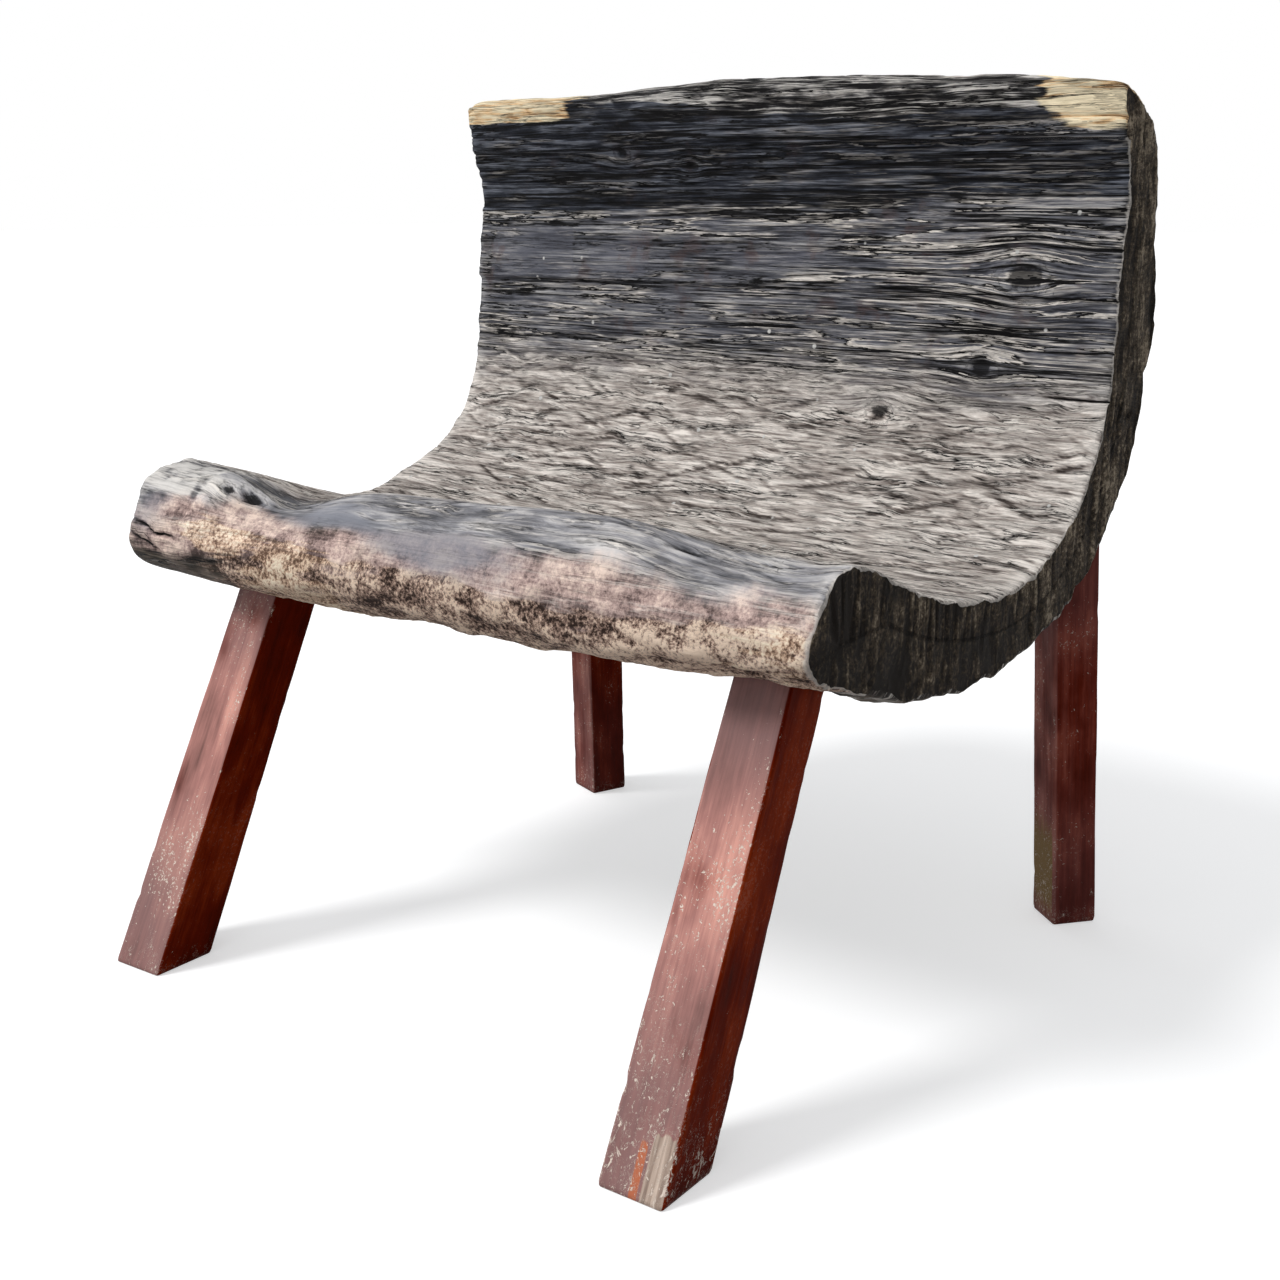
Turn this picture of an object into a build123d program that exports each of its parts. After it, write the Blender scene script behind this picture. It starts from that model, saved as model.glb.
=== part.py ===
from build123d import *

import os
from collections import namedtuple
from math import atan, cos, degrees, radians, sin, tan

os.makedirs("parts", exist_ok=True)

# A low chair hewn from one length of hollow log: back, seat and lip are a single curved plank, and it stands on
# four square legs that are staked into its underside. Millimetres. +X runs along the grain, +Z is up and the
# sitter faces -Y. The origin is on the floor, under the middle of the whole chair. Left and right are as seen
# from the front.

# ---- The hewn log: sizes shared by every section along the grain ----
log_length = 740
seat_height = 371  # floor to the lowest line of the hollow
hollow_y = 50  # how far behind the origin that line lies
hollow_radius = 168  # the bend between seat and back
back_lean = 5.0  # degrees that the back leans away from the sitter
back_rise = 297  # lowest line of the hollow to the arris across the back
crook_lean = 14.0  # degrees that the top leans back over the sitter, above the arris
crook_rise = 90  # arris to the front edge of the top
ramp_radius = 361  # the long curve of the seat as it rises to the lip
ramp_angle = 26.0  # degrees of that curve
crest_rise = 57  # lowest line of the hollow to the crest of the lip
crest_run = 80  # end of the ramp to the crest
nose_run = 118  # end of the ramp to the front of the lip
nose_drop = 51  # crest to the front of the lip
lip_run = 52  # end of the ramp to the lowest point of the lip
lip_depth = 108  # crest to the lowest point of the lip
lip_slope = 11.0  # degrees that the underside falls towards the back
seat_thickness = 63
bend_thickness = 66
back_thickness = 75
arris_thickness = 62
top_thickness = 63
crown_rise = 9  # front edge of the top to its highest line
crown_run = 26
top_fall = 38  # front edge of the top to its rear edge
ledge_height = 3  # the step where a hewn plank of the back ends and the next one starts
crook_ledge = 0.5  # share of the crook above the arris where its ledge lies
back_ledge = 0.63  # share of the straight back below the arris where its ledge lies

# ---- How the log departs from that section, end to end ----
# place is the share of half the length from the middle. The rest are millimetres: crest lifts the lip, nose pushes
# it forward, under lifts its lower edge, crown lifts the top, worn lowers the top's outer line, swell thickens the
# bark side and ledge is how far a hewn plank of the back stands proud at its lower edge.
Station = namedtuple("Station", "place crest nose under crown worn swell ledge")
stations = (
    Station(-1.00, crest=0, nose=12, under=-2, crown=-1, worn=0, swell=10, ledge=4.0),
    Station(-0.68, crest=-6, nose=9, under=-3, crown=0, worn=1, swell=8, ledge=4.5),
    Station(-0.34, crest=-4, nose=4, under=0, crown=4, worn=0, swell=-2, ledge=3.0),
    Station(0.00, crest=-1, nose=2, under=4, crown=8, worn=0, swell=3, ledge=2.0),
    Station(0.36, crest=6, nose=-1, under=5, crown=6, worn=1, swell=-3, ledge=3.5),
    Station(0.68, crest=-3, nose=-3, under=13, crown=4, worn=4, swell=-3, ledge=4.5),
    Station(1.00, crest=-3, nose=-5, under=19, crown=-1, worn=18, swell=0, ledge=4.0),
)

# ---- The legs and how they are staked ----
front_rake = 24.9  # degrees that the front legs lean back as they rise
front_foot_side = 57.5
front_top_side = 50
front_tenon_radius = 18
rear_foot_side = 44
rear_top_side = 43
rear_tenon_radius = 15
rear_socket_angle = 27.5  # degrees below level, seen from the centre of the bend
front_housing_depth = 14  # how far the square of the leg is let into the log
rear_housing_depth = 22
tenon_length = 45
mortise_clearance = 0.15
housing_clearance = 0.4
leg_ease = 3  # rounding of the long edges
foot_wear = 2  # rounding of the foot's edges
wedge_length = 30
wedge_thickness = 5
wedge_tip = 2
wedge_proud = 1  # how far the foot of the mortise has driven the wedge from the tenon's end

# inset is from that end of the log to the leg, setback is from the front of the lip (front legs only), splay is
# outwards and rake backwards, both in degrees, towards the foot. turn is about the leg's own length, in degrees.
Leg = namedtuple("Leg", "end inset setback splay rake turn")
legs = {
    "front_left": Leg(end=-1, inset=108.9, setback=72.7, splay=1.3, rake=-front_rake, turn=4),
    "front_right": Leg(end=1, inset=76.5, setback=78.5, splay=1.5, rake=-front_rake, turn=4),
    "rear_left": Leg(end=-1, inset=129.5, setback=0, splay=3.6, rake=5.8, turn=-18),
    "rear_right": Leg(end=1, inset=54.0, setback=0, splay=0.2, rake=6.6, turn=-37),
}

# ---- Lines of the section that several pieces share ----
bend_centre = Vector(hollow_y, seat_height + hollow_radius)
ramp_end = Vector(
    hollow_y - ramp_radius * sin(radians(ramp_angle)),
    seat_height + ramp_radius * (1 - cos(radians(ramp_angle))),
)
back_foot = bend_centre + Vector(hollow_radius, 0)
arris = Vector(
    back_foot.X + (seat_height + back_rise - back_foot.Y) * tan(radians(back_lean)),
    seat_height + back_rise,
)
bend_outer_radius = hollow_radius + bend_thickness
lip_underside = seat_height + crest_rise - lip_depth
nose_line = ramp_end.X - nose_run


def bend_point(angle, radius):
    """A point around the bend, angle degrees below level."""
    return bend_centre + Vector(radius * cos(radians(angle)), -radius * sin(radians(angle)))


def section_plane(station):
    """The upright plane across the grain at a station."""
    return Plane(origin=(station.place * log_length / 2, 0, 0), x_dir=(0, 1, 0), z_dir=(1, 0, 0))


def section_points(station):
    """The corners and outer points of the section at a station, by name."""
    front_edge = Vector(arris.X - crook_rise * tan(radians(crook_lean)), arris.Y + crook_rise + station.crown)
    crest = Vector(ramp_end.X - crest_run, seat_height + crest_rise + station.crest)
    nose = Vector(nose_line - station.nose, seat_height + crest_rise - nose_drop + station.crest / 2)
    underside = Vector(ramp_end.X - lip_run, lip_underside + station.under)
    belly = Vector(hollow_y, seat_height - seat_thickness - station.swell)
    return {
        "front_edge": front_edge,
        "crown": front_edge + Vector(crown_run, crown_rise - station.worn),
        "rear_edge": front_edge + Vector(top_thickness, -top_fall),
        "crest": crest,
        "nose": nose,
        "underside": underside,
        "belly": belly,
        "bend": bend_point(45, bend_outer_radius + station.swell),
        "back": back_foot + Vector(back_thickness + station.swell, 0),
        "shoulder": arris + Vector(arris_thickness, -crook_rise / 5),
    }


def hewn_plank(start, finish, ledge_share, ledge):
    """The points of a hewn face from start down to finish, with one ledge where the upper plank stands proud."""
    down = (finish - start).normalized()
    edge = start + (finish - start) * ledge_share
    return start, edge - Vector(ledge, 0), edge + down * ledge_height, finish


# ---- The hewn log, before its sockets are cut ----
with BuildPart() as hewn_log:
    for station in stations:
        point = section_points(station)
        with BuildSketch(section_plane(station)):
            with BuildLine():
                Polyline(*hewn_plank(point["front_edge"], arris, 1 - crook_ledge, station.ledge))
                Polyline(*hewn_plank(arris, back_foot, back_ledge, station.ledge))
                CenterArc(bend_centre, hollow_radius, 270, 90)
                CenterArc((hollow_y, seat_height + ramp_radius), ramp_radius, 270, -ramp_angle)
                Spline(
                    ramp_end,
                    point["crest"],
                    point["nose"],
                    point["underside"],
                    tangents=[
                        (-cos(radians(ramp_angle)), sin(radians(ramp_angle))),
                        (cos(radians(lip_slope)), -sin(radians(lip_slope))),
                    ],
                )
                Spline(
                    point["underside"],
                    point["belly"],
                    point["bend"],
                    point["back"],
                    point["shoulder"],
                    point["rear_edge"],
                )
                Spline(point["rear_edge"], point["crown"], point["front_edge"])
            make_face()
    loft()


def leg_axis(leg):
    """The direction of a leg, from its foot up."""
    return Vector(-leg.end * tan(radians(leg.splay)), -tan(radians(leg.rake)), 1).normalized()


def is_front(leg):
    return leg.rake < 0


def socket_point(leg):
    """Where the middle line of a leg passes the nominal underside of the log."""
    x = leg.end * (log_length / 2 - leg.inset)
    if is_front(leg):
        return Vector(x, nose_line + leg.setback, lip_underside)
    outer = bend_point(rear_socket_angle, bend_outer_radius)
    return Vector(x, outer.X, outer.Y)


def shoulder_point(leg):
    """The middle of a leg's shoulder: its housing depth inside the log, along the leg."""
    floor_point = socket_point(leg) - leg_axis(leg) * (socket_point(leg).Z / leg_axis(leg).Z)
    entries = hewn_log.part.find_intersection_points(Axis(floor_point, leg_axis(leg)))
    entry = min((hit[0] for hit in entries), key=lambda found: found.Z)
    depth = front_housing_depth if is_front(leg) else rear_housing_depth
    return entry + leg_axis(leg) * depth


def leg_plane(leg, along):
    """The plane square to a leg, at a distance above its shoulder."""
    axis = leg_axis(leg)
    origin = shoulder_point(leg) + axis * along
    return Plane(origin=origin, x_dir=(axis.Z, 0, -axis.X), z_dir=axis)


def leg_sides(leg):
    """The side of a leg's square at its foot and at its shoulder."""
    return (front_foot_side, front_top_side) if is_front(leg) else (rear_foot_side, rear_top_side)


def tenon_radius(leg):
    return front_tenon_radius if is_front(leg) else rear_tenon_radius


def leg_length(leg):
    """From the shoulder down the leg's middle line until its whole foot is below the floor."""
    foot_side = leg_sides(leg)[0]
    return shoulder_point(leg).Z / leg_axis(leg).Z + foot_side


def squared_stick(leg, grow):
    """The leg's tapered square length, each side grown by a clearance."""
    foot_side, top_side = leg_sides(leg)
    taper = degrees(atan((foot_side - top_side) / 2 / leg_length(leg)))
    with BuildPart() as stick:
        with BuildSketch(leg_plane(leg, -leg_length(leg))):
            Rectangle(foot_side + 2 * grow, foot_side + 2 * grow, rotation=leg.turn)
        extrude(amount=leg_length(leg), taper=taper)
    return stick.part


def wedge_plane(leg):
    """The plane through the end of a leg's tenon, along the grain of the log, where its wedge is drawn."""
    end = leg_plane(leg, tenon_length)
    return Plane(origin=end.origin, x_dir=end.x_dir, z_dir=-end.y_dir)


# The wedge seen along its kerf: a taper up to the tenon's end, then straight where it stands proud.
wedge_corners = (
    (-wedge_tip / 2, -wedge_length),
    (-wedge_thickness / 2, 0),
    (-wedge_thickness / 2, wedge_proud),
    (wedge_thickness / 2, wedge_proud),
    (wedge_thickness / 2, 0),
    (wedge_tip / 2, -wedge_length),
)


def staked_leg(leg):
    """A leg: tapered square length, foot cut level on the floor, round tenon with a kerf for its wedge."""
    with BuildPart() as made:
        add(squared_stick(leg, grow=0))
        fillet(made.edges().sort_by(SortBy.LENGTH)[-4:], leg_ease)
        split(bisect_by=Plane.XY, keep=Keep.TOP)
        fillet(made.faces().sort_by(Axis.Z)[0].edges(), foot_wear)
        with BuildSketch(leg_plane(leg, 0)):
            Circle(tenon_radius(leg))
        extrude(amount=tenon_length)
        with BuildSketch(wedge_plane(leg)):
            Polygon(*wedge_corners, align=None)
        extrude(amount=tenon_radius(leg), both=True, mode=Mode.SUBTRACT)
    return made.part


def fox_wedge(leg):
    """The hidden wedge that the mortise drives into the tenon's kerf."""
    with BuildPart() as made:
        with BuildSketch(wedge_plane(leg)):
            Polygon(*wedge_corners, align=None)
        extrude(amount=tenon_radius(leg), both=True)
        with BuildSketch(leg_plane(leg, 0)):
            Circle(tenon_radius(leg))
        extrude(amount=tenon_length + wedge_proud, mode=Mode.INTERSECT)
    return made.part


# ---- The log with its four sockets: a square housing for each shoulder and a blind round mortise above it ----
with BuildPart() as carved_seat_back:
    add(hewn_log.part)
    for leg in legs.values():
        add(squared_stick(leg, grow=housing_clearance), mode=Mode.SUBTRACT)
        with BuildSketch(leg_plane(leg, 0)):
            Circle(tenon_radius(leg) + mortise_clearance)
        extrude(amount=tenon_length + wedge_proud, mode=Mode.SUBTRACT)
carved_seat_back.part.label = "carved_seat_back"
export_step(carved_seat_back.part, "parts/carved_seat_back.step")

# ---- The legs and their wedges ----
for place, leg in legs.items():
    with BuildPart() as stake:
        add(staked_leg(leg))
    stake.part.label = f"{place}_leg"
    export_step(stake.part, f"parts/{place}_leg.step")
    with BuildPart() as wedge:
        add(fox_wedge(leg))
    wedge.part.label = f"{place}_wedge"
    export_step(wedge.part, f"parts/{place}_wedge.step")
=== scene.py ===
"""The looks of a low chair: one hewn length of hollow log on four staked square legs.

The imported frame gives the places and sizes. The log is modelled again with its tool marks, cracks, knots
and worn edges, the legs with their dents and chips, and every surface gets a finish of its own. Metres,
+X along the grain, +Z up, and the sitter faces -Y.
"""

import logging
import math
from dataclasses import dataclass
from enum import Enum

import bpy
import numpy as np
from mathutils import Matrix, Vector
from mathutils.bvhtree import BVHTree


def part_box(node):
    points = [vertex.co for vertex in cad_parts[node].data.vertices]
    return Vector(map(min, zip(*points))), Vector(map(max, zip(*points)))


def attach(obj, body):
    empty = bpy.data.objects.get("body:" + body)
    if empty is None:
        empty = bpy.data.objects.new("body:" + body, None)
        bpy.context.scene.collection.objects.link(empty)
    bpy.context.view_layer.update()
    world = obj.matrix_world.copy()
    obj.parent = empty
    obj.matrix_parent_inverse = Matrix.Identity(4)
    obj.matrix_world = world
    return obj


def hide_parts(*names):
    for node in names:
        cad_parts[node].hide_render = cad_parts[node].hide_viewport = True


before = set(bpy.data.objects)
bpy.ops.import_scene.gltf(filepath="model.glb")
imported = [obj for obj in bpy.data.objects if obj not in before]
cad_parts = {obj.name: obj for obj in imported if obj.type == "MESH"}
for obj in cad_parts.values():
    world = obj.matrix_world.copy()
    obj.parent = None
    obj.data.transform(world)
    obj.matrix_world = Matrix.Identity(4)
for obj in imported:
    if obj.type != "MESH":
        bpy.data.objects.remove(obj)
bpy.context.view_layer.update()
log = logging.getLogger("chair")

MM = 0.001
Triple = tuple[float, float, float]
Colour = Triple


def rgb(red: int, green: int, blue: int) -> Colour:
    """Turns a display colour into the linear one that a shader takes.

    Args:
        red: Red, 0 to 255.
        green: Green, 0 to 255.
        blue: Blue, 0 to 255.

    Returns:
        The linear colour, each part 0 to 1.
    """
    parts = (part / 255 for part in (red, green, blue))
    return tuple(part / 12.92 if part < 0.04 else ((part + 0.055) / 1.055) ** 2.4 for part in parts)


def smooth(value: np.ndarray, low: float, high: float) -> np.ndarray:
    """Rises smoothly from 0 at low to 1 at high, or falls where high is below low."""
    t = np.clip((value - low) / (high - low), 0, 1)
    return t * t * (3 - 2 * t)


def hump(value: np.ndarray, middle: float, half_width: float) -> np.ndarray:
    """A bell of height 1 at middle that has faded to a third at half_width."""
    return np.exp(-(((value - middle) / half_width) ** 2))


def read(mesh: bpy.types.Mesh, what: str = "co") -> np.ndarray:
    """Reads the places of a mesh's vertices, or with "normal" their normals."""
    flat = np.zeros(len(mesh.vertices) * 3)
    mesh.vertices.foreach_get(what, flat)
    return flat.reshape(-1, 3)


def move(mesh: bpy.types.Mesh, places: np.ndarray) -> None:
    """Sets the places of a mesh's vertices."""
    mesh.vertices.foreach_set("co", places.ravel())
    mesh.update()


def store(mesh: bpy.types.Mesh, values: dict[str, np.ndarray]) -> None:
    """Gives a mesh one attribute for each name, with a number or a vector for each vertex."""
    for name, sheet in values.items():
        kind, field = ("FLOAT_VECTOR", "vector") if sheet.ndim == 2 else ("FLOAT", "value")
        mesh.attributes.new(name, kind, "POINT").data.foreach_set(field, sheet.ravel())
    mesh.update()


def coat(piece: bpy.types.Object, finish: bpy.types.Material) -> None:
    """Makes a finish the only one that a piece has."""
    piece.data.materials.clear()
    piece.data.materials.append(finish)


def surface_of(node: str) -> BVHTree:
    """The surface of a solid of the frame, to be searched."""
    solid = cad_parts[node].data
    return BVHTree.FromPolygons([v.co for v in solid.vertices], [p.vertices for p in solid.polygons])


@dataclass(frozen=True)
class Noise:
    """Smooth noise over a plane, about -1 to 1, the same on every run."""

    seed: int

    def at(self, u: np.ndarray, v: np.ndarray) -> np.ndarray:
        """Samples one layer of the noise.

        Args:
            u: First coordinate, in cells of the noise.
            v: Second coordinate, in cells of the noise.

        Returns:
            The noise at each point.
        """
        cells = 256
        turn = np.random.default_rng(self.seed).uniform(0, 2 * np.pi, (cells, cells))
        cell_u, cell_v = np.floor(u).astype(int), np.floor(v).astype(int)
        part_u, part_v = u - cell_u, v - cell_v
        ease_u = part_u**3 * (part_u * (6 * part_u - 15) + 10)
        ease_v = part_v**3 * (part_v * (6 * part_v - 15) + 10)

        def corner(step_u: int, step_v: int) -> np.ndarray:
            """How much one corner of a cell adds to the point."""
            angle = turn[(cell_u + step_u) % cells, (cell_v + step_v) % cells]
            return np.cos(angle) * (part_u - step_u) + np.sin(angle) * (part_v - step_v)

        near = corner(0, 0) * (1 - ease_u) + corner(1, 0) * ease_u
        far = corner(0, 1) * (1 - ease_u) + corner(1, 1) * ease_u
        return 1.6 * (near * (1 - ease_v) + far * ease_v)

    def layers(self, u: np.ndarray, v: np.ndarray, count: int) -> np.ndarray:
        """Adds count layers of the noise, each half the size and half the height of the one before."""
        return sum(Noise(self.seed + step).at(u * 2**step, v * 2**step) / 2**step for step in range(count))

    def creases(self, u: np.ndarray, v: np.ndarray, width: float) -> np.ndarray:
        """Meandering lines: 1 on the lines where the noise crosses zero, and 0 between them."""
        return np.exp(-((self.layers(u, v, 2) / width) ** 2))

    def ledges(self, u: np.ndarray, v: np.ndarray, steps: float, slope: float) -> np.ndarray:
        """Split layers: the noise cut into level steps with steep sides.

        Args:
            u: First coordinate, in cells of the noise.
            v: Second coordinate, in cells of the noise.
            steps: How many steps there are to one unit of the noise.
            slope: The share of a step that its side takes.

        Returns:
            The stepped height, in units of one step.
        """
        height = self.layers(u, v, 2) * steps
        level = np.floor(height)
        return level + smooth(height - level, 1 - slope, 1)


class Signal:
    """The output of a shader node. Arithmetic on it adds Math nodes to its material."""

    def __init__(self, graph: "Graph", socket: bpy.types.NodeSocket) -> None:
        """Wraps a socket of a graph."""
        self.graph = graph
        self.socket = socket

    def _math(self, operation: str, first: object, second: object) -> "Signal":
        """Adds a Math node on two values."""
        return self.graph.node("ShaderNodeMath", {"operation": operation}, {0: first, 1: second})

    def __add__(self, other: object) -> "Signal":
        """self + other."""
        return self._math("ADD", self, other)

    def __radd__(self, other: object) -> "Signal":
        """other + self."""
        return self._math("ADD", other, self)

    def __sub__(self, other: object) -> "Signal":
        """self - other."""
        return self._math("SUBTRACT", self, other)

    def __rsub__(self, other: object) -> "Signal":
        """other - self."""
        return self._math("SUBTRACT", other, self)

    def __mul__(self, other: object) -> "Signal":
        """self * other."""
        return self._math("MULTIPLY", self, other)

    def __rmul__(self, other: object) -> "Signal":
        """other * self."""
        return self._math("MULTIPLY", other, self)

    def __abs__(self) -> "Signal":
        """The size of the value, whatever its sign."""
        return self._math("ABSOLUTE", self, 0.0)

    def steps(self, count: float) -> "Signal":
        """How far up its step the value is, 0 to 1, when one unit of it is cut into count steps."""
        return self._math("FRACT", self * count, 0.0)

    def ramp(self, low: float, high: float, out_low: float = 0.0, out_high: float = 1.0) -> "Signal":
        """Maps low to out_low and high to out_high, smoothly, and holds still beyond them."""
        inputs = {0: self, 1: low, 2: high, 3: out_low, 4: out_high}
        return self.graph.node("ShaderNodeMapRange", {"interpolation_type": "SMOOTHSTEP"}, inputs)


class Graph:
    """The node tree of a material or of the world, and the calls that grow it."""

    def __init__(self, owner: bpy.types.Material | bpy.types.World) -> None:
        """Starts on the nodes that its owner comes with.

        Args:
            owner: The new material or world.
        """
        owner.use_nodes = True
        self.owner = owner
        self.tree = owner.node_tree

    def _feed(self, socket: bpy.types.NodeSocket, value: object) -> None:
        """Sets a socket to a number or colour, or links a signal to it."""
        if isinstance(value, Signal):
            self.tree.links.new(value.socket, socket)
        elif isinstance(value, tuple) and socket.type == "RGBA":
            socket.default_value = (*value, 1.0)
        else:
            socket.default_value = value

    def node(self, kind: str, settings: dict, inputs: dict, output: int | str = 0) -> Signal:
        """Adds a node.

        Args:
            kind: The node's type.
            settings: Its properties, set first.
            inputs: Values, colours or signals for its sockets, by index or name.
            output: The output to return, by index or name.

        Returns:
            That output.
        """
        made = self.tree.nodes.new(kind)
        for name, value in settings.items():
            setattr(made, name, value)
        for key, value in inputs.items():
            self._feed(made.inputs[key], value)
        return Signal(self, made.outputs[output])

    def attribute(self, name: str, output: str = "Fac") -> Signal:
        """Reads an attribute that the piece's mesh carries."""
        return self.node("ShaderNodeAttribute", {"attribute_name": name}, {}, output)

    def _stretched(self, vector: Signal, scale: Triple) -> dict:
        """The inputs of a texture that is read at a vector scaled along each axis."""
        scaled = self.node("ShaderNodeVectorMath", {"operation": "MULTIPLY"}, {0: vector, 1: scale})
        return {"Vector": scaled, "Scale": 1.0}

    def noise(self, vector: Signal, scale: Triple, detail: float, rough: float,
              distortion: float = 0.0) -> Signal:
        """Noise whose cells are 1/scale metres along each axis.

        Args:
            vector: Where the noise is read.
            scale: Cells to a metre along each axis.
            detail: Layers of finer noise.
            rough: How strong the finer layers are.
            distortion: How far the pattern is twisted.

        Returns:
            The noise, about -0.25 to 0.25.
        """
        inputs = {"Detail": detail, "Roughness": rough, "Distortion": distortion}
        return self.node("ShaderNodeTexNoise", {}, self._stretched(vector, scale) | inputs) - 0.5

    def cells(self, vector: Signal, scale: Triple) -> Signal:
        """The distance to the nearest point of a scatter of points, in cells."""
        return self.node("ShaderNodeTexVoronoi", {}, self._stretched(vector, scale))

    def paint(self, ground: Signal, *coats: tuple[Signal, Signal | Colour]) -> Signal:
        """Lays coats of colour over a ground.

        Args:
            ground: The colour at the bottom.
            coats: How much each coat covers, and its colour, the lowest coat first.

        Returns:
            The colour that shows.
        """
        settings = {"data_type": "RGBA", "clamp_factor": True}
        for cover, colour in coats:
            ground = self.node("ShaderNodeMix", settings, {0: cover, 6: ground, 7: colour}, 2)
        return ground

    def colour_ramp(self, value: Signal, stops: tuple[tuple[float, Colour], ...]) -> Signal:
        """Colours a value through a ramp of stops, given as (place, colour)."""
        made = self.node("ShaderNodeValToRGB", {}, {0: value})
        elements = made.socket.node.color_ramp.elements
        while len(elements) < len(stops):
            elements.new(0.5)
        for element, (place, colour) in zip(elements, stops):
            element.position = place
            element.color = (*colour, 1.0)
        return made

    def background_seen(self) -> Signal:
        """1 for the eye, a reflection or a view through glass, and 0 for the light that falls on things."""
        rays = (f"Is {kind} Ray" for kind in ("Camera", "Glossy", "Transmission"))
        looks = [self.node("ShaderNodeLightPath", {}, {}, ray) for ray in rays]
        return looks[0] + looks[1] + looks[2]

    def choose(self, factor: Signal, first: Signal, second: Signal) -> Signal:
        """Mixes two shaders, factor of the second over the first."""
        return self.node("ShaderNodeMixShader", {}, {0: factor, 1: first, 2: second})

    def show(self, shader: Signal) -> None:
        """Makes a shader the owner's surface."""
        output = next(node for node in self.tree.nodes if "Output" in node.name)
        self.tree.links.new(shader.socket, output.inputs["Surface"])

    def bump(self, height: Signal, distance: float, strength: float = 1.0,
             under: Signal | None = None) -> Signal:
        """Turns a height into a normal.

        Args:
            height: The height, in units of distance.
            distance: Metres for one unit of height.
            strength: How much of the relief shows.
            under: Another bump that this one lies on.

        Returns:
            The normal.
        """
        inputs = {"Height": height, "Distance": distance, "Strength": strength}
        if under is not None:
            inputs["Normal"] = under
        return self.node("ShaderNodeBump", {}, inputs)

    def finish(self, **sockets: object) -> bpy.types.Material:
        """Feeds the Principled BSDF's sockets, named with _ for a space, and returns the material."""
        surface = self.tree.nodes["Principled BSDF"]
        for name, value in sockets.items():
            self._feed(surface.inputs[name.replace("_", " ")], value)
        return self.owner


@dataclass(frozen=True)
class Tones:
    """The dark, middle and light colour of one weathering of the wood."""

    dark: Colour
    middle: Colour
    light: Colour

    def over(self, value: Signal) -> Signal:
        """Colours a signal of 0 to 1 from dark to light."""
        return value.graph.colour_ramp(value, ((0.12, self.dark), (0.5, self.middle), (0.88, self.light)))


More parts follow.
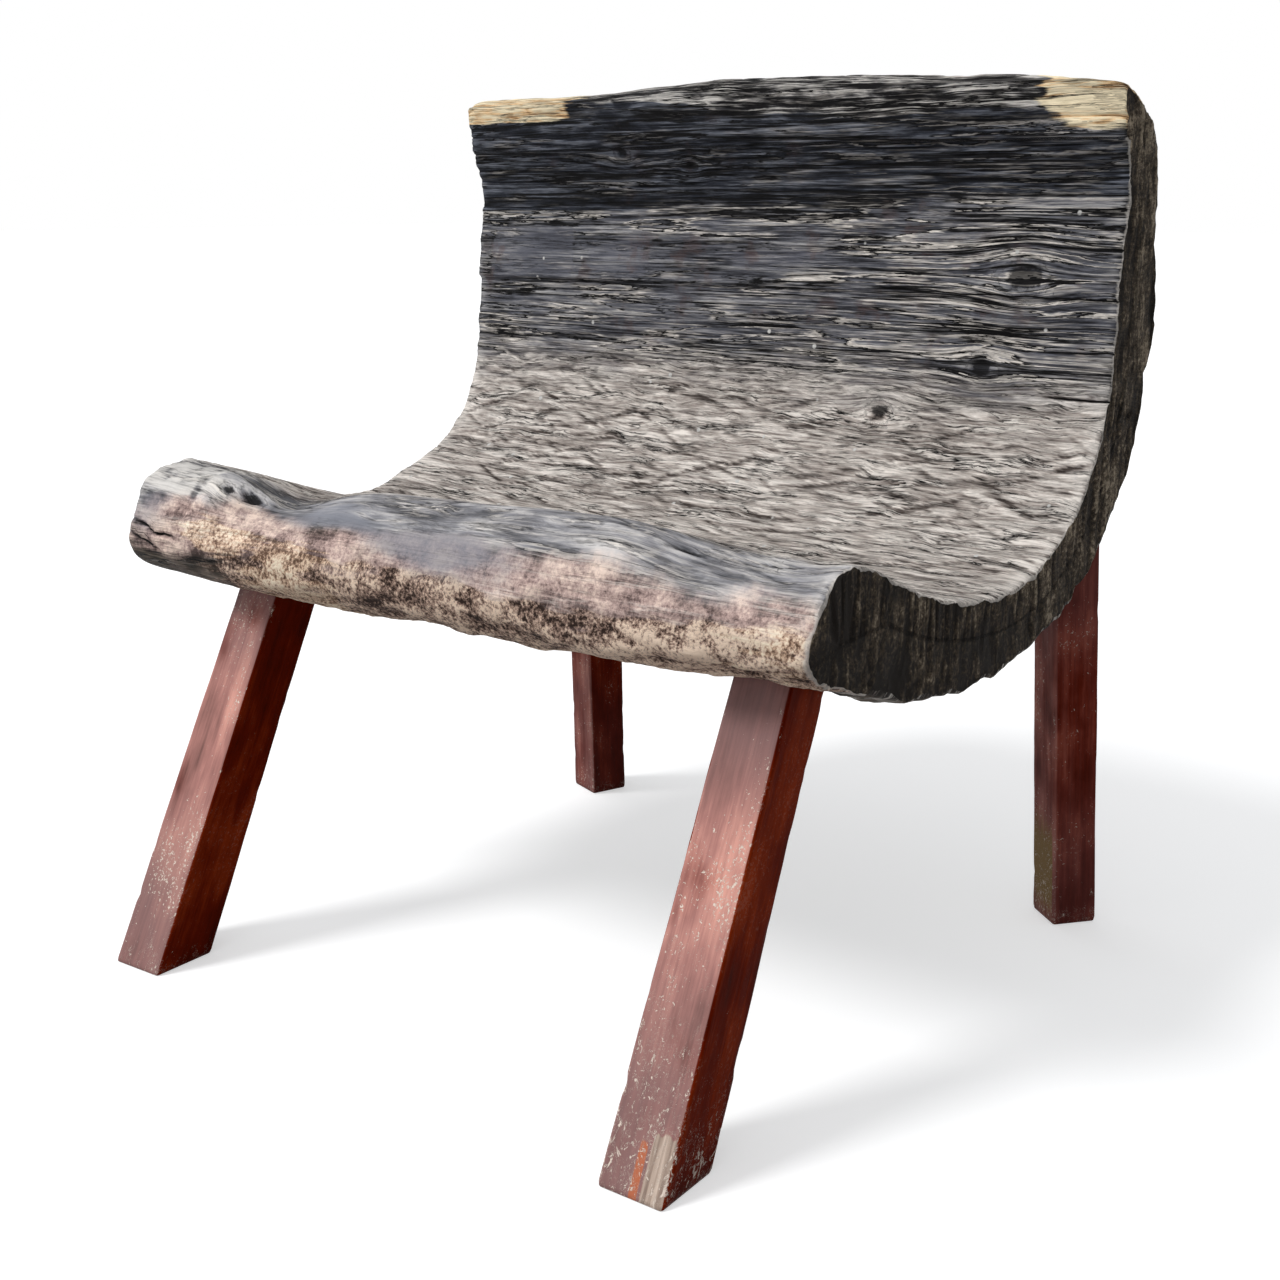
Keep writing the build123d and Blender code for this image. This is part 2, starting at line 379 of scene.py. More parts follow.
@dataclass(frozen=True)
class LogFinish:
    """The hewn log: charred, worn, crusted, bare and end-grain wood, blended by the mesh's attributes, with
    painted highlights on its ridges and ledge edges and painted shade in its hollows and cracks and under
    its ledges.
    """

    char: Tones = Tones(rgb(9, 10, 14), rgb(48, 51, 60), rgb(120, 124, 134))
    back: Tones = Tones(rgb(40, 40, 45), rgb(105, 106, 114), rgb(180, 178, 178))
    planed: Tones = Tones(rgb(62, 62, 70), rgb(86, 87, 96), rgb(112, 112, 118))
    seat: Tones = Tones(rgb(78, 69, 64), rgb(176, 165, 157), rgb(246, 237, 228))
    band: Tones = Tones(rgb(84, 84, 88), rgb(148, 147, 151), rgb(214, 210, 208))
    mauve: Tones = Tones(rgb(96, 78, 75), rgb(186, 160, 152), rgb(238, 214, 198))
    crust: Tones = Tones(rgb(50, 36, 30), rgb(172, 142, 126), rgb(252, 226, 202))
    ochre: Tones = Tones(rgb(120, 92, 74), rgb(232, 196, 166), rgb(255, 240, 214))
    bare: Tones = Tones(rgb(132, 94, 60), rgb(255, 212, 158), rgb(255, 238, 202))
    bark: Tones = Tones(rgb(36, 31, 27), rgb(86, 77, 68), rgb(148, 136, 122))
    top: Tones = Tones(rgb(20, 19, 21), rgb(120, 118, 118), rgb(232, 227, 220))
    sawn: Tones = Tones(rgb(24, 19, 15), rgb(84, 73, 60), rgb(182, 166, 144))
    # pale: the painted highlight on crests, slivers and the arris, and the frayed right end.
    pale: Colour = rgb(236, 228, 219)
    smoke: Colour = rgb(126, 128, 136)
    rust: Colour = rgb(98, 78, 74)
    # black: painted shade in cracks, under ledges and in the modelled cracks, and the knots' dark centres
    # and rings.
    black: Colour = rgb(14, 13, 14)
    drop: Colour = rgb(214, 212, 208)

    def material(self) -> bpy.types.Material:
        """Builds the material.

        Returns:
            The log's material, which reads the mesh's attributes: flow and torn (places on the surface,
            along the grain and round the log), relief, gap, near, knot, arris, end, and one for each
            weathering.
        """
        g = Graph(bpy.data.materials.new("weathered_log"))
        flow, torn = g.attribute("flow", "Vector"), g.attribute("torn", "Vector")
        place = g.node("ShaderNodeTexCoord", {}, {}, "Object")
        relief = g.attribute("relief")
        blotch = g.noise(flow, (7, 24, 1), 4, 0.6)
        patchy = g.noise(flow, (13, 46, 1), 3, 0.6)
        splinter = g.noise(flow, (4.2, 84, 1), 9, 0.72, 0.12)
        fibre = g.noise(flow, (14, 480, 1), 5, 0.75)
        tear = g.noise(torn, (13, 150, 1), 9, 0.74, 0.15)
        grain = g.noise(place, (300, 300, 300), 7, 0.75)
        lumps = g.noise(place, (24, 24, 24), 6, 0.65)
        ticks = g.noise(place, (150, 150, 34), 6, 0.76)
        plates = (g.noise(flow, (1.9, 24, 1), 7, 0.62, 0.2) + 0.5).steps(9)
        shreds = (g.noise(torn, (4.5, 46, 1), 7, 0.62, 0.2) + 0.5).steps(7)

        def split(source: Signal, scale: Triple, width: float) -> tuple[Signal, Signal]:
            """Thin dark lines where a noise crosses its middle, painted as shade in cracks, and the pale
            edge beside each, a painted highlight that is partly wear.
            """
            across = g.noise(source, scale, 5, 0.6)
            line = abs(across).ramp(0.0, width, 1.0, 0.0)
            return line, abs(across - width * 1.5).ramp(0.0, width * 0.8, 1.0, 0.0)

        long_gap, long_edge = split(flow, (0.9, 54, 1), 0.030)
        short_gap, short_edge = split(flow, (4.5, 115, 1), 0.044)
        fine_gap, fine_edge = split(flow, (12, 240, 1), 0.075)
        torn_gap, torn_edge = split(torn, (8, 84, 1), 0.032)
        nick_gap, nick_edge = split(torn, (22, 190, 1), 0.060)
        sparse, dense = patchy.ramp(-0.06, 0.10), patchy.ramp(-0.10, 0.10, 0.25, 1.0)
        # crevice: cracks and the foot of each ledge, painted black as shade. crest_wear_and_highlight: each
        # ledge's top and the edge beside each crack, painted pale as highlight and wear. slit and
        # sliver_wear_and_highlight do the same on the torn seat.
        crevice = (plates.ramp(0.06, 0.13, 0.9, 0.0) + long_gap * blotch.ramp(-0.14, 0.0)
                   + short_gap * sparse + fine_gap * 0.35)
        crest_wear_and_highlight = (plates.ramp(0.82, 0.92) + long_edge * blotch.ramp(-0.06, 0.06)
                 + short_edge * sparse + fine_edge * 0.25)
        slit = shreds.ramp(0.06, 0.13, 1.0, 0.0) * dense + torn_gap * sparse + nick_gap * 0.35
        sliver_wear_and_highlight = shreds.ramp(0.72, 0.88) * dense + torn_edge * sparse * 0.9 + nick_edge * 0.3

        # relief lightens the ridges and darkens the hollows: painted highlight, partly wear, and painted
        # shade.
        wood = splinter * 1.3 + fibre * 2.2 + blotch * 0.9 + relief * 0.28 + 0.5
        rent = tear * 1.8 + fibre * 1.4 + blotch * 0.9 + relief * 0.56 + 0.52
        # shade_and_darkening darkens the crust's tone: painted shade under the lip's left end, and darker in
        # the lip's middle.
        stone = grain * 3.9 + lumps * 2.2 + relief * 0.22 + 0.55 - g.attribute("shade_and_darkening") * 0.24
        depth = g.node("ShaderNodeSeparateXYZ", {}, {0: place}, 1)
        rings = grain * 2.0 + ticks * 1.8 + relief * 0.4 + depth.ramp(-0.02, 0.14, 0.29, 0.44)

        def edge(name: str, spread: float = 0.5) -> Signal:
            """A weathering's mask with a ragged edge that follows the grain."""
            here = g.attribute(name)
            return (here + (splinter + patchy) * spread).ramp(0.38, 0.62) * here.ramp(0.0, 0.3)

        def haze(name: str) -> Signal:
            """A weathering's mask with a soft, cloudy edge."""
            here = g.attribute(name)
            return (here + lumps * 1.1 + blotch * 0.5).ramp(0.15, 0.85) * here.ramp(0.0, 0.3)

        char, planed = edge("char", 1.0), edge("planed", 2.0)
        crust, bare = edge("crust", 1.1), edge("bare", 2.2)
        band, mauve, smoke = map(haze, ("band", "mauve", "smoke"))
        seat = (g.attribute("seat") + (tear + patchy) * 0.9).ramp(0.05, 0.95)
        smoothed = ((1.0 - planed * 0.6) * (1.0 - smoke * 0.85) * (1.0 - crust) * (1.0 - mauve * 0.8)
                    * (1.0 - band * 0.5) * (1.0 - bare * 0.55))
        pale = (g.attribute("splintery") + patchy * 2.0).ramp(0.15, 0.75)
        # Painted highlight, partly wear: pale ledge crests, slivers and the edges beside the cracks.
        light = crest_wear_and_highlight * pale * (1.0 - seat * 0.7) * char.ramp(0.0, 1.0, 0.95, 0.28)
        light = (light + sliver_wear_and_highlight * seat * 0.7) * smoothed * (1.0 - bare)
        # Painted shade: black in the cracks and at the foot of each ledge.
        dark = crevice * (1.0 - seat) * 0.95 + slit * seat * 0.75
        arris = abs(g.attribute("arris") + splinter * 14.0).ramp(0.5, 2.2, 1.0, 0.0)
        drops = g.cells(flow, (36, 34, 1)).ramp(0.060, 0.095, 1.0, 0.0) * lumps.ramp(-0.06, -0.02)
        ring = g.attribute("knot") + grain * 1.2 + splinter * 2.6
        gap = abs(g.attribute("gap") + fibre * 1.2)
        colour = g.paint(
            self.bark.over(wood),
            (edge("back"), self.back.over(wood)),
            (planed * 0.6, self.planed.over(wood * 0.5 + 0.25)),
            (seat, self.seat.over(rent)),
            (char, self.char.over(wood)),
            (lumps.ramp(0.06, 0.16, 0.0, 0.45) * (1.0 - seat) * (1.0 - char * 0.6), self.rust),
            (edge("rim", 0.9), self.top.over(wood * 2.3 - 0.66)),
            (band, self.band.over(rent * 0.7 + blotch + 0.1)),
            (mauve, self.mauve.over(rent * 0.25 + stone * 0.45 + lumps * 1.3 + 0.17)),
            (crust, self.crust.over(stone)),
            (edge("ochre", 2.2) * 0.8, self.ochre.over(stone)),
            (smoke * 0.8, self.smoke),
            (edge("swirl", 1.6) * 0.7, self.top.over(rent + 0.25)),
            (bare, self.bare.over(wood * 2.0 + patchy * 1.4 - 0.06)),
            # Painted highlight, partly wear, on ledge crests, slivers and along the arris.
            (light + arris * patchy.ramp(-0.10, 0.05) * 0.6, self.pale),
            # Painted shade in the cracks and under the ledges.
            (dark * smoothed, self.black),
            (drops * g.attribute("back") * (1.0 - char) * (1.0 - band), self.drop),
            (ring.ramp(0.60, 0.95, 0.85, 0.0), self.black),
            (abs(ring - 1.3).ramp(0.02, 0.12, 0.5, 0.0), self.black),
            (edge("frayed", 1.4) * 0.6, self.pale),
            (g.attribute("end").ramp(0.3, 0.7), self.sawn.over(rings)),
            # Painted shade inside the modelled cracks.
            (gap.ramp(0.45, 1.0, 1.0, 0.0) * g.attribute("near"), self.black),
        )
        carved = splinter * 0.7 + fibre * 0.4 - crevice * 0.16 + plates * 0.14
        rough_cut = tear * 0.6 + fibre * 0.2 - slit * 0.16 + shreds * 0.16
        height = (carved * (1.0 - seat) + rough_cut * seat) * smoothed.ramp(0.0, 1.0, 0.15, 1.0)
        lumpy = g.attribute("crust")
        rugged = grain * lumpy.ramp(0.1, 0.7, 0.3, 2.4) + lumps * lumpy * 3.0
        normal = g.bump(rugged, 0.0016, under=g.bump(height, 0.0060))
        rough = (0.72 + patchy * 0.4).ramp(0.4, 1.0, 0.55, 0.95)
        return g.finish(Base_Color=colour, Roughness=rough, Normal=normal, Specular_IOR_Level=0.12)


@dataclass(frozen=True)
class LegFinish:
    """Dark red-brown satin stain on a square stick, with a pale sheen painted where it faces the front,
    painted shade and dirt near its top, scratched and chipped.
    """

    stain: Tones = Tones(rgb(40, 5, 0), rgb(98, 21, 0), rgb(150, 54, 18))
    sheen_and_dust_tones: Tones = Tones(rgb(102, 74, 70), rgb(172, 122, 114), rgb(228, 168, 152))
    # shade_and_grime: the colour of the painted shade and dirt near the leg's top, and of the darker foot.
    shade_and_grime: Colour = rgb(112, 92, 92)
    moss: Colour = rgb(132, 108, 74)
    bare: Tones = Tones(rgb(112, 94, 84), rgb(166, 146, 132), rgb(212, 192, 176))
    fresh: Colour = rgb(184, 104, 70)
    chip: Colour = rgb(218, 202, 188)

    def material(self) -> bpy.types.Material:
        """Builds the material.

        Returns:
            The legs' material, which reads the attributes stick (place across and along the leg), wear,
            sheen_and_dust (a painted sheen on the faces that turn to the front, and a film all round), moss,
            peeled and split.
        """
        g = Graph(bpy.data.materials.new("stained_leg"))
        stick = g.attribute("stick", "Vector")
        wear, sheen_and_dust, moss, bald, cleft = map(g.attribute, ("wear", "sheen_and_dust", "moss", "peeled", "split"))
        streak = g.noise(stick, (110, 110, 5), 6, 0.62, 0.3)
        fibre = g.noise(stick, (520, 520, 22), 4, 0.65)
        blotch = g.noise(stick, (20, 20, 9), 4, 0.6)
        chips = g.noise(stick, (190, 190, 120), 7, 0.78, 0.6)
        specks = g.noise(stick, (430, 430, 380), 3, 0.6, 0.8)
        scratch = abs(g.noise(stick, (90, 90, 60), 5, 0.7, 0.2)).ramp(0.0, 0.007, 1.0, 0.0)
        along = g.node("ShaderNodeSeparateXYZ", {}, {0: stick}, 2)
        # How near the top and the foot a point is: painted shade from the seat and dirt near the top, and
        # darker near the foot.
        ends = along.ramp(0.24, 0.34, 0.0, 0.9) + along.ramp(0.05, 0.20, 0.75, 0.0)
        wood = streak * 0.5 + fibre * 0.4 + blotch * 1.3 + 0.5
        peeled = (bald + streak * 1.2 + blotch * 0.8).ramp(0.42, 0.56)
        flecks = (specks + wear * 0.04 + blotch * 0.65).ramp(0.182, 0.204) * sheen_and_dust.ramp(0.0, 0.6, 0.06, 1.0)
        scored = (wear * 0.5 + chips + blotch * sheen_and_dust * 0.7).ramp(0.15, 0.26) * 0.45
        worn = (chips + wear * 0.22).ramp(0.235, 0.255) + flecks * (1.0 - peeled) + scratch * scored
        colour = g.paint(
            self.stain.over(wood),
            # A pale sheen painted on the faces that turn to the front in place of the satin's reflection,
            # and the film all round.
            ((sheen_and_dust + blotch * 0.4 + streak * 0.3).ramp(0.2, 0.8), self.sheen_and_dust_tones.over(wood)),
            # Painted shade and dirt near the top of the leg, under the seat, and darker near the foot, where
            # the sheen is painted.
            (ends * sheen_and_dust * blotch.ramp(-0.2, 0.1, 0.6, 1.0), self.shade_and_grime),
            ((moss + blotch * 1.2 + fibre * 0.8).ramp(0.3, 0.9) * moss.ramp(0.0, 0.3), self.moss),
            (peeled * bald.ramp(0.0, 0.2), self.bare.over(streak * 1.2 + fibre + 0.5)),
            ((cleft + streak * 1.2).ramp(0.40, 0.60) * cleft.ramp(0.0, 0.3) * 0.85, self.fresh),
            (worn, self.chip),
        )
        rough = (blotch * 0.3 + fibre * 0.2 + sheen_and_dust * 0.12 + 0.36).ramp(0.1, 0.9, 0.2, 0.85)
        normal = g.bump(streak * 0.5 + fibre * 0.3 - worn * 0.4, 0.0007, 0.7)
        return g.finish(Base_Color=colour, Roughness=rough, Normal=normal, Specular_IOR_Level=0.01)


@dataclass(frozen=True)
class WedgeFinish:
    """Bare split wood, as it was driven."""

    wood: Tones = Tones(rgb(120, 92, 62), rgb(178, 148, 110), rgb(214, 190, 156))

    def material(self) -> bpy.types.Material:
        """Builds the wedges' material, whose grain runs up the wedge."""
        g = Graph(bpy.data.materials.new("bare_wedge"))
        place = g.node("ShaderNodeTexCoord", {}, {}, "Object")
        streak = g.noise(place, (700, 700, 40), 5, 0.6, 0.3)
        normal = g.bump(streak, 0.0005, 0.6)
        return g.finish(Base_Color=self.wood.over(streak * 1.6 + 0.5), Roughness=0.8, Normal=normal)


@dataclass(frozen=True)
class Knot:
    """A knot in the log, round which the grain flows. Millimetres."""

    x: float
    y: float
    z: float
    radius: float
    depth: float


@dataclass(frozen=True)
class Crack:
    """A crack that follows the grain between two ends. Millimetres."""

    start: Triple
    end: Triple
    width: float
    depth: float


@dataclass(frozen=True)
class Swell:
    """A broad rise of the surface, or a hollow where height is negative. Millimetres."""

    x: float
    y: float
    z: float
    length: float
    girth: float
    height: float


class Side(Enum):
    """The four sides of the log's section, in the order in which its rows run."""

    INNER = 0
    LIP = 1
    OUTER = 2
    TOP = 3


@dataclass
class HewnLog:
    """The curved plank that is back, seat and lip. Metres; knots, cracks and swells are in millimetres."""

    node: str = "carved_seat_back"
    # The section: the bend, the seat's curve, the back, the crook under the top and the lip.
    hollow: tuple[float, float] = (0.050, 0.539)
    hollow_radius: float = 0.168
    ramp_centre_height: float = 0.732
    ramp_radius: float = 0.361
    ramp_angle: float = math.radians(26)
    back_lean: float = math.radians(5)
    arris_height: float = 0.668
    crook_lean: float = math.radians(14)
    crook_rise: float = 0.046
    # The line inside the plank that the rays start from, and how far the surface lies from it.
    core: float = 0.030
    lip_core: tuple[float, float] = (-0.178, 0.374)
    lip_reach: float = 0.050
    outer_reach: float = 0.035
    top_reach: float = 0.042
    # How finely each side is divided, and the end faces' rings.
    inner_step: float = 0.0017
    lip_step: float = 0.0021
    outer_step: float = 0.0055
    top_step: float = 0.0022
    column_step: float = 0.0058
    crowding: float = 1.12
    rings: tuple[float, ...] = (0.985, 0.94, 0.86, 0.75, 0.62, 0.48, 0.33, 0.18, 0.05)
    # How far the rays keep from the ends and the legs, how much is carved, and the relief at which the
    # finish's painted light and shade are full.
    end_inset: float = 0.0006
    leg_margin: float = 0.0025
    end_cut: float = 0.0022
    full_relief: float = 0.0008
    adze_cuts: int = 520
    knots: tuple[Knot, ...] = (
        Knot(282, 224, 602, 13, 3),
        Knot(-163, 219, 712, 7, 3),
        Knot(-79, 222, 698, 5, 5),
        Knot(248, 217, 526, 9, 4),
        Knot(152, 204, 480, 9, 3),
        Knot(-242, -197, 417, 9, 9),
        Knot(-262, -202, 415, 6, 4),
    )
    cracks: tuple[Crack, ...] = (
        Crack((128, 222, 588), (371, 223, 588), 1.0, 2.5),
        Crack((293, 225, 627), (371, 225, 625), 1.0, 2.0),
        Crack((300, 218, 541), (371, 224, 542), 1.0, 2.0),
        Crack((308, 213, 503), (371, 217, 503), 1.2, 2.5),
        Crack((225, -191, 426), (262, -188, 425), 1.6, 4),
        Crack((296, -180, 424), (332, -170, 420), 1.6, 4),
        Crack((-371, -238, 384), (-296, -237, 372), 1.5, 6),
        Crack((-371, -240, 372), (-318, -240, 360), 1.1, 4),
    )
    swells: tuple[Swell, ...] = (
        Swell(-370, 110, 386, 130, 55, 10),
        Swell(192, -199, 420, 40, 26, 7),
        Swell(-320, -200, 424, 70, 40, 4),
        Swell(-355, -222, 424, 34, 26, 6),
        Swell(-205, -180, 426, 66, 56, -21),
        Swell(-276, -200, 426, 38, 30, 11),
        Swell(90, -200, 425, 60, 34, 3),
        Swell(350, 296, 715, 40, 34, 10),
        Swell(362, 304, 640, 22, 26, -5),
        Swell(350, 300, 560, 40, 30, 5),
    )

    def __post_init__(self) -> None:
        """Reads the log's solid from the frame."""
        self.solid = surface_of(self.node)
        low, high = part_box(self.node)
        self.half = (high.x - low.x) / 2
        self.middle = (high.x + low.x) / 2

    def _section_rays(self) -> tuple[np.ndarray, np.ndarray, np.ndarray]:
        """Lays out the section as rays from the plank's core to its surface.

        Returns:
            For each row, where its ray starts (y, z), its direction, and its side.
        """
        start, way, side = [], [], []

        def walk(points: np.ndarray, angles: np.ndarray, which: Side, reach: float, step: float) -> None:
            """Adds rows along a stretch of the core, spaced by step at reach from it."""
            dense = 40  # places at which the stretch is measured
            places = np.linspace(0, 1, dense)
            knots = np.linspace(0, 1, len(points))
            y, z = np.interp(places, knots, points[:, 0]), np.interp(places, knots, points[:, 1])
            turn = np.interp(places, np.linspace(0, 1, len(angles)), angles)
            edge_y, edge_z = y + reach * np.cos(turn), z + reach * np.sin(turn)
            run = np.concatenate([[0], np.cumsum(np.hypot(np.diff(edge_y), np.diff(edge_z)))])
            count = max(2, round(run[-1] / step))
            at = np.interp(np.arange(count) / count * run[-1], run, places)
            start.append(np.stack([np.interp(at, places, y), np.interp(at, places, z)], 1))
            bend = np.interp(at, places, turn)
            way.append(np.stack([np.cos(bend), np.sin(bend)], 1))
            side.append(np.full(count, which.value))

        hollow = np.array(self.hollow)
        crook = math.pi + self.crook_lean
        lean = math.pi - self.back_lean
        lean_back = (self.arris_height - hollow[1]) * math.tan(self.back_lean)
        arris = np.array([hollow[0] + self.hollow_radius + lean_back, self.arris_height])
        crook_top = arris + self.crook_rise * np.array([-math.tan(self.crook_lean), 1])

        def inward(point: np.ndarray, angle: float) -> np.ndarray:
            """A point of the core behind a point of the inner face."""
            return point - self.core * np.array([math.cos(angle), math.sin(angle)])

        back_foot = hollow + np.array([self.hollow_radius, 0])
        turns = np.linspace(math.pi, math.pi / 2, 30)
        bend = np.stack([hollow[0] - (self.hollow_radius + self.core) * np.cos(turns),
                         hollow[1] - (self.hollow_radius + self.core) * np.sin(turns)], 1)
        climb = np.linspace(math.pi / 2, math.pi / 2 - self.ramp_angle, 20)
        ramp = np.stack([hollow[0] - (self.ramp_radius + self.core) * np.cos(climb),
                         self.ramp_centre_height - (self.ramp_radius + self.core) * np.sin(climb)], 1)
        lip = np.array([ramp[-1], self.lip_core])
        nose = np.array([self.lip_core, self.lip_core])
        over, under = math.radians(95), math.radians(255)
        top = inward(crook_top, crook)
        upper = np.array([top, inward(arris, crook)])
        middle = np.array([inward(arris, lean), inward(back_foot, lean), bend[0]])
        half_way = (crook + lean) / 2
        face = (Side.INNER, self.core, self.inner_step)
        roll = (Side.LIP, self.lip_reach, self.lip_step)
        bark = (Side.OUTER, self.outer_reach, self.outer_step)

        walk(upper, np.array([crook, half_way]), *face)
        walk(middle, np.array([half_way, lean, lean, math.pi]), *face)
        walk(bend, turns, *face)
        walk(ramp, climb, *face)
        walk(lip, np.array([climb[-1], over]), *roll)
        walk(nose, np.array([over, under]), *roll)
        walk(lip[::-1], np.array([under, climb[-1] + math.pi]), Side.LIP, self.lip_reach, self.outer_step)
        walk(ramp[::-1], climb[::-1] + math.pi, *bark)
        walk(bend[::-1], turns[::-1] + math.pi, *bark)
        walk(middle[::-1], np.array([2 * math.pi, crook + math.pi]), *bark)
        walk(upper[::-1], np.array([crook + math.pi, crook + math.pi]), *bark)
        walk(np.array([top, top]), np.array([crook - math.pi, crook]), Side.TOP, self.top_reach,
             self.top_step)
        return np.vstack(start), np.vstack(way), np.concatenate(side)

    def _columns(self) -> np.ndarray:
        """Where the rings lie along the grain, closer together at both ends."""
        inner = np.linspace(-1, 1, round(2 * self.half / self.column_step))
        close = np.sign(inner) * (1 - (1 - np.abs(inner)) ** self.crowding)
        return self.middle + close * self.half

    def _cast(self, columns: np.ndarray, start: np.ndarray, way: np.ndarray) -> np.ndarray:
        """Finds how far each ray runs inside the solid, and bridges the four sockets.

        Args:
            columns: Places along the grain.
            start: Where each row's ray starts (y, z).
            way: Each row's direction (y, z).

        Returns:
            The distances, one for each row and column.
        """
        legs = [surface_of(name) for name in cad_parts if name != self.node]
        reach = np.zeros((len(start), len(columns)))
        limit = self.half - self.end_inset
        for column, x in enumerate(columns):
            inside = min(max(x, self.middle - limit), self.middle + limit)
            for row in range(len(start)):
                origin = Vector((inside, *start[row]))
                hit, _, _, distance = self.solid.ray_cast(origin, Vector((0, *way[row])))
                clear = hit and not any(leg.find_nearest(hit, self.leg_margin)[0] for leg in legs)
                reach[row, column] = distance if clear else np.nan
        for row in range(len(start)):
            good = ~np.isnan(reach[row])
            reach[row] = np.interp(columns, columns[good], reach[row, good])
        return reach

    def _tube(self, rows: int, columns: int) -> bpy.types.Object:
        """Models a tube round X, from -1 to 1, whose ends are closed by rings that shrink to the middle.

        Args:
            rows: How many rows there are round it.
            columns: How many rings there are along it.

        Returns:
            The tube.
        """
        weld = 1e-4
        bpy.ops.object.select_all(action="DESELECT")
        bpy.ops.mesh.primitive_grid_add(x_subdivisions=columns - 1, y_subdivisions=rows, size=2)
        tube = bpy.context.object
        sheet = read(tube.data)
        turn = (sheet[:, 1] + 1) * np.pi
        move(tube.data, np.stack([sheet[:, 0], np.cos(turn), np.sin(turn)], 1))
        bpy.ops.object.mode_set(mode="EDIT")
        bpy.ops.mesh.select_all(action="SELECT")
        bpy.ops.mesh.remove_doubles(threshold=weld)
        for end in (-1, 1):
            bpy.ops.mesh.select_all(action="DESELECT")
            bpy.ops.object.mode_set(mode="OBJECT")
            points = tube.data.vertices
            for edge in tube.data.edges:
                edge.select = all(abs(points[index].co.x - end) < weld for index in edge.vertices)
            bpy.ops.object.mode_set(mode="EDIT")
            bpy.ops.mesh.edge_face_add()
        bpy.ops.mesh.select_all(action="DESELECT")
        bpy.ops.object.mode_set(mode="OBJECT")
        for face in tube.data.polygons:
            face.select = len(face.vertices) > 4
        bpy.ops.object.mode_set(mode="EDIT")
        for before, ring in zip((1.0, *self.rings), self.rings):
            bpy.ops.mesh.inset(thickness=before - ring, depth=0)
        bpy.ops.object.mode_set(mode="OBJECT")
        return tube

    def build(self) -> bpy.types.Object:
        """Models the log: a tube that is set on the solid's surface and then carved.

        Returns:
            The finished piece.
        """
        start, way, side = self._section_rays()
        columns = self._columns()
        rows = len(start)
        skin = Skin(self, start, way, side, columns, self._cast(columns, start, way))
        piece = self._tube(rows, len(columns))
        piece.name = "hewn_log"
        mesh = piece.data
        tube = read(mesh)
        turn = np.arctan2(tube[:, 2], tube[:, 1])
        row = np.round(turn / (2 * np.pi) * rows).astype(int) % rows
        column = np.round((tube[:, 0] + 1) / 2 * (len(columns) - 1)).astype(int)
        share = np.hypot(tube[:, 1], tube[:, 2])
        share = np.where(share > 0.997, 1.0, share)
        places, values = skin.carve(row, column, share)
        move(mesh, places)
        store(mesh, values)
        bpy.ops.object.mode_set(mode="EDIT")
        bpy.ops.mesh.quads_convert_to_tris(quad_method="FIXED", ngon_method="BEAUTY")
        bpy.ops.mesh.select_all(action="SELECT")
        bpy.ops.mesh.normals_make_consistent(inside=False)
        bpy.ops.object.mode_set(mode="OBJECT")
        bpy.ops.object.shade_smooth_by_angle(angle=math.radians(50))
        log.info("hewn log: %d rows, %d rings, %d faces", rows, len(columns), len(mesh.polygons))
        return piece

    def dress(self, piece: bpy.types.Object) -> None:
        """Gives the log its finish and its place in the model.

        Args:
            piece: The log that build made.
        """
        coat(piece, LogFinish().material())
        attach(piece, "root")
        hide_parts(self.node)


